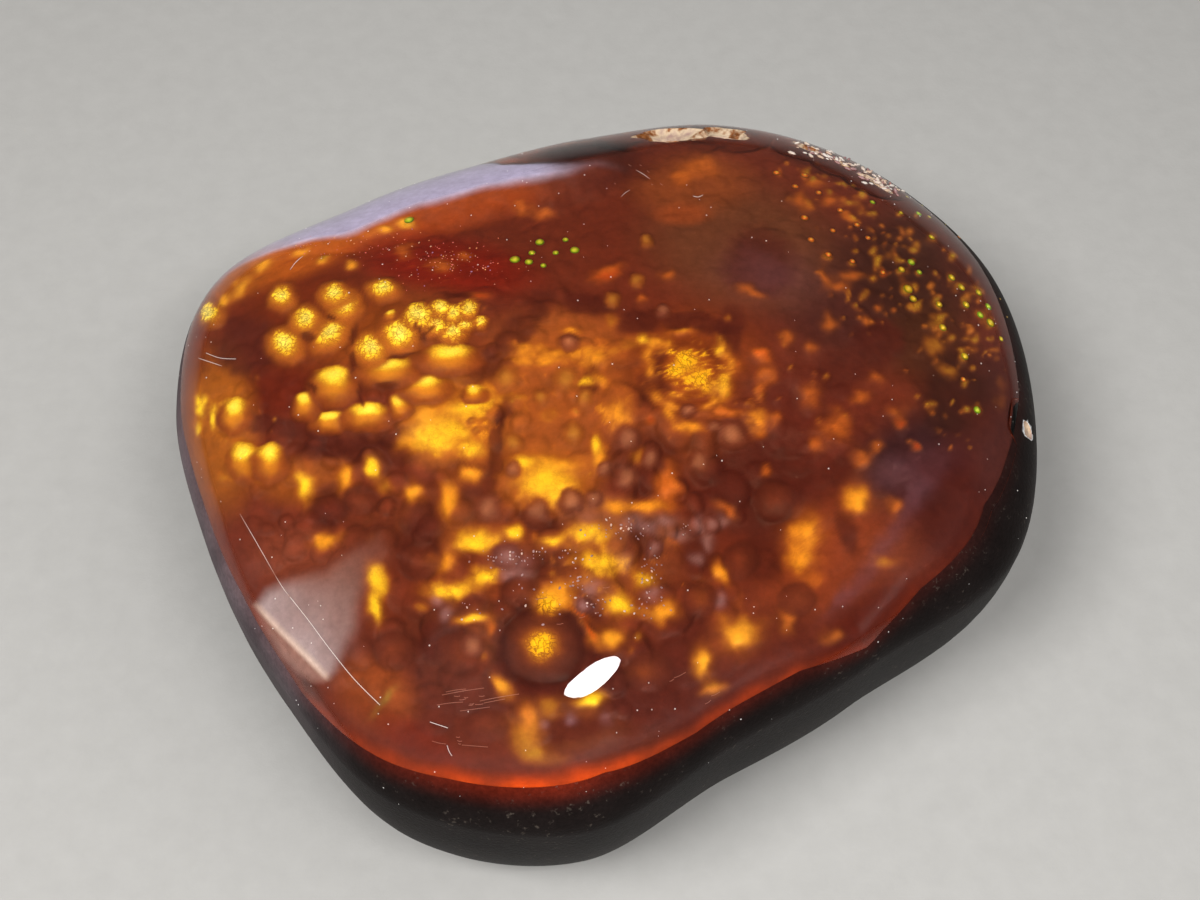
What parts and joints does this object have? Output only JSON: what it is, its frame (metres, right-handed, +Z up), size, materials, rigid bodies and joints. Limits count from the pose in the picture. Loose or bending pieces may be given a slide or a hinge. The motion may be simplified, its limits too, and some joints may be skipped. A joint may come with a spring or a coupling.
{
  "type": "fire agate specimen",
  "caption": "Polished free-form fire agate with a clear brown domed top over golden bubbly layers, a dark side that curves under and a flat base to rest on.",
  "frame": {"origin": "middle of the bounding box on the plane of the flat base", "axes": "+Z up out of the dome, +X across the longest way, +Y away from the blunt lower corner of the outline"},
  "size_m": [0.034, 0.0318, 0.014],
  "materials": {
    "polished_chalcedony": "clear brown polish over gold and mahogany layers, satin on the side"
  },
  "bodies": {
    "root": {"fire_agate": "polished_chalcedony"}
  },
  "joints": []
}
